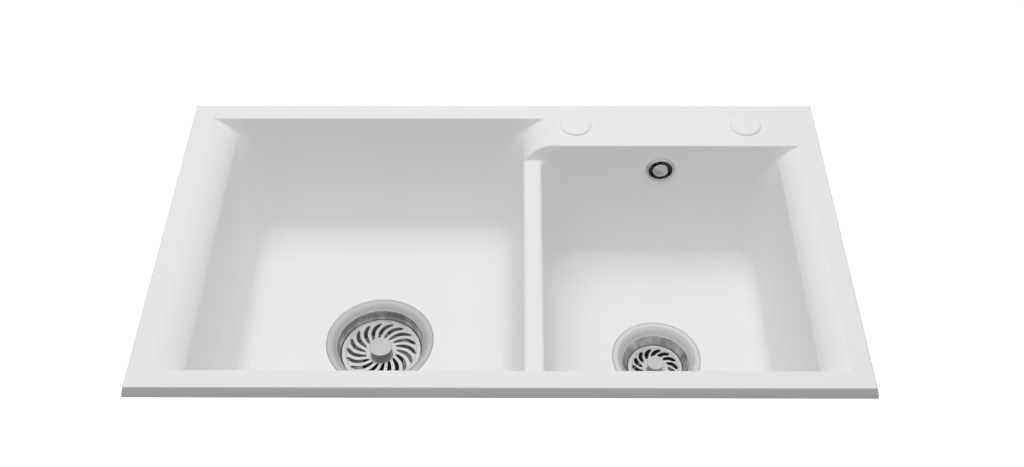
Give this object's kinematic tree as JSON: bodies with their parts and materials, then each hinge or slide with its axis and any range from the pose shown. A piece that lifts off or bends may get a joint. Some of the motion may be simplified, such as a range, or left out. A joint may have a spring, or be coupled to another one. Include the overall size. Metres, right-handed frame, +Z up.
{
  "type": "kitchen sink",
  "caption": "Drop-in moulded stone kitchen sink with a large and a small bowl, a lowered divider, a tap ledge, lift-out strainers, wastes and an overflow hose.",
  "frame": {"origin": "centre of the rim's underside, in the plane of the worktop's surface", "axes": "+X to the right of the person at the sink, +Y away from that person, +Z up out of the worktop"},
  "size_m": [0.806, 0.456, 0.3046],
  "materials": {
    "stone": "satin white quartz and resin composite",
    "brushed_steel": "satin pressed stainless steel",
    "polished_steel": "polished",
    "seal_rubber": "matt",
    "stopper_rubber": "matt",
    "waste_plastic": "moulded",
    "hose_plastic": "corrugated, satin",
    "cover_plastic": "satin white",
    "brass": "machined"
  },
  "bodies": {
    "sink": {"sink_body": "stone", "left_strainer_cup": "brushed_steel", "right_strainer_cup": "brushed_steel", "left_clamp_screw": "brushed_steel", "right_clamp_screw": "brushed_steel", "hose_clips": "brushed_steel", "overflow_ring": "polished_steel", "overflow_cap": "polished_steel", "left_flange_seal": "seal_rubber", "right_flange_seal": "seal_rubber", "left_body_seal": "seal_rubber", "right_body_seal": "seal_rubber", "overflow_gasket": "seal_rubber", "tap_cover_seal": "seal_rubber", "dispenser_cover_seal": "seal_rubber", "left_waste_body": "waste_plastic", "right_waste_body": "waste_plastic", "overflow_elbow": "waste_plastic", "tap_cover_washer": "waste_plastic", "dispenser_cover_washer": "waste_plastic", "tap_cover_nut": "waste_plastic", "dispenser_cover_nut": "waste_plastic", "overflow_hose": "hose_plastic", "left_screw_insert": "brass", "right_screw_insert": "brass", "tap_hole_cover": "cover_plastic", "dispenser_hole_cover": "cover_plastic"},
    "left_strainer": {"left_strainer_plate": "brushed_steel", "left_strainer_knob": "polished_steel", "left_strainer_post": "brushed_steel", "left_stopper": "stopper_rubber"},
    "right_strainer": {"right_strainer_plate": "brushed_steel", "right_strainer_knob": "polished_steel", "right_strainer_post": "brushed_steel", "right_stopper": "stopper_rubber"}
  },
  "joints": [
    {"name": "left_strainer_lift", "type": "slide", "parent": "sink", "child": "left_strainer", "axis": [0, 0, 1], "range_m": [0, 0.26]},
    {"name": "right_strainer_lift", "type": "slide", "parent": "sink", "child": "right_strainer", "axis": [0, 0, 1], "range_m": [0, 0.26]}
  ]
}
